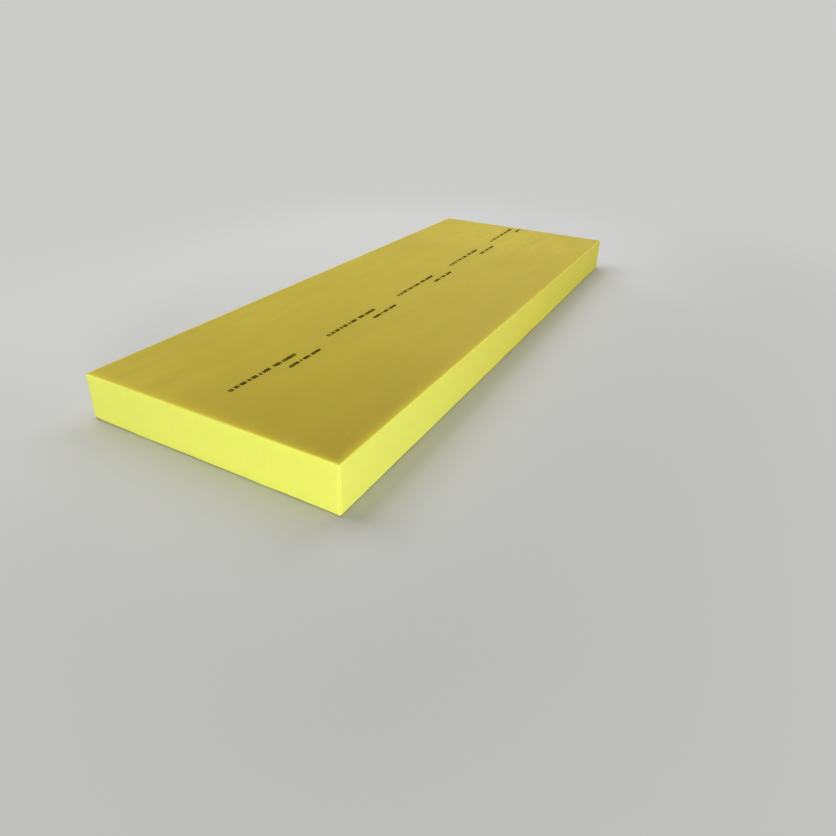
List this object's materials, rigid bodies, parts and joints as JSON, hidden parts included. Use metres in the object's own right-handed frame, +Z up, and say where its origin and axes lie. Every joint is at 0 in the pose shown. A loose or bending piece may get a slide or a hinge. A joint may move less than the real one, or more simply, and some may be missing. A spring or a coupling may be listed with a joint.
{
  "type": "cast polyamide slab",
  "caption": "Solid rectangular slab of yellow cast polyamide, sawn to size, lying flat as stock for machining.",
  "frame": {"origin": "middle of the face that the slab lies on", "axes": "+X along the length, +Y along the width, +Z up through the thickness"},
  "size_m": [0.8, 0.3, 0.05],
  "materials": {
    "slab": "satin",
    "ink": "matte"
  },
  "bodies": {
    "root": {"slab": "slab"}
  },
  "joints": []
}
